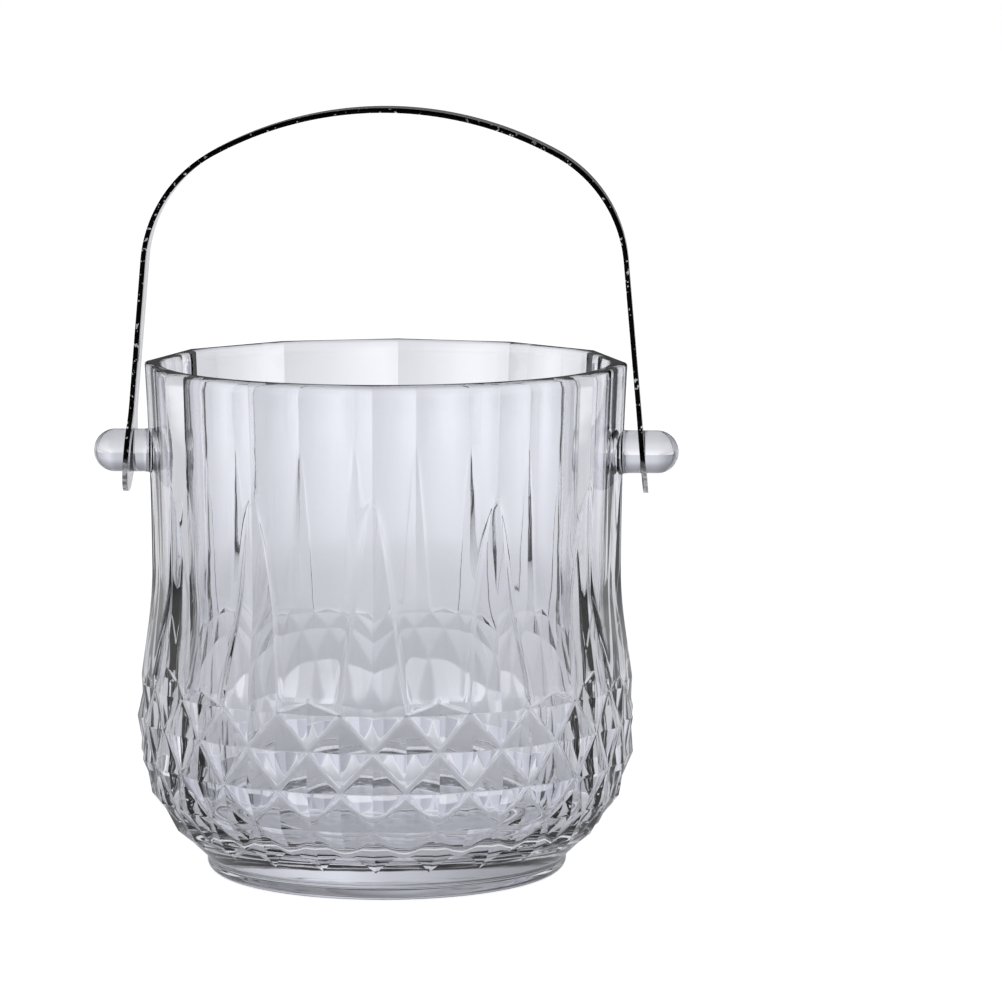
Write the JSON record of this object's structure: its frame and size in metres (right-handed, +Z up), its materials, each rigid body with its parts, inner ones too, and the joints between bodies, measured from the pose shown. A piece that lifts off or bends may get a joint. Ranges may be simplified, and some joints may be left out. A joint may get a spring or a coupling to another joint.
{
  "type": "ice bucket",
  "caption": "Pressed clear glass ice bucket with a diamond-cut belly, flat panels above, round side lugs and a swinging flat steel bail handle.",
  "frame": {"origin": "middle of the foot's underside, on the surface that the bucket stands on", "axes": "+Z up along the glass body's axis; +X runs through the two lugs, along the bail's pivot line; +Y is level, from front to back"},
  "size_m": [0.1636, 0.1386, 0.2138],
  "materials": {
    "pressed_glass": "polished",
    "bail_steel": "polished"
  },
  "bodies": {
    "bucket": {"glass_bucket": "pressed_glass"},
    "bail": {"bail_handle": "bail_steel"}
  },
  "joints": [
    {"name": "bail_swing", "type": "hinge", "parent": "bucket", "child": "bail", "pos_m": [0, 0, 0.1178], "axis": [1, 0, 0], "range_deg": [-129, 129]}
  ]
}
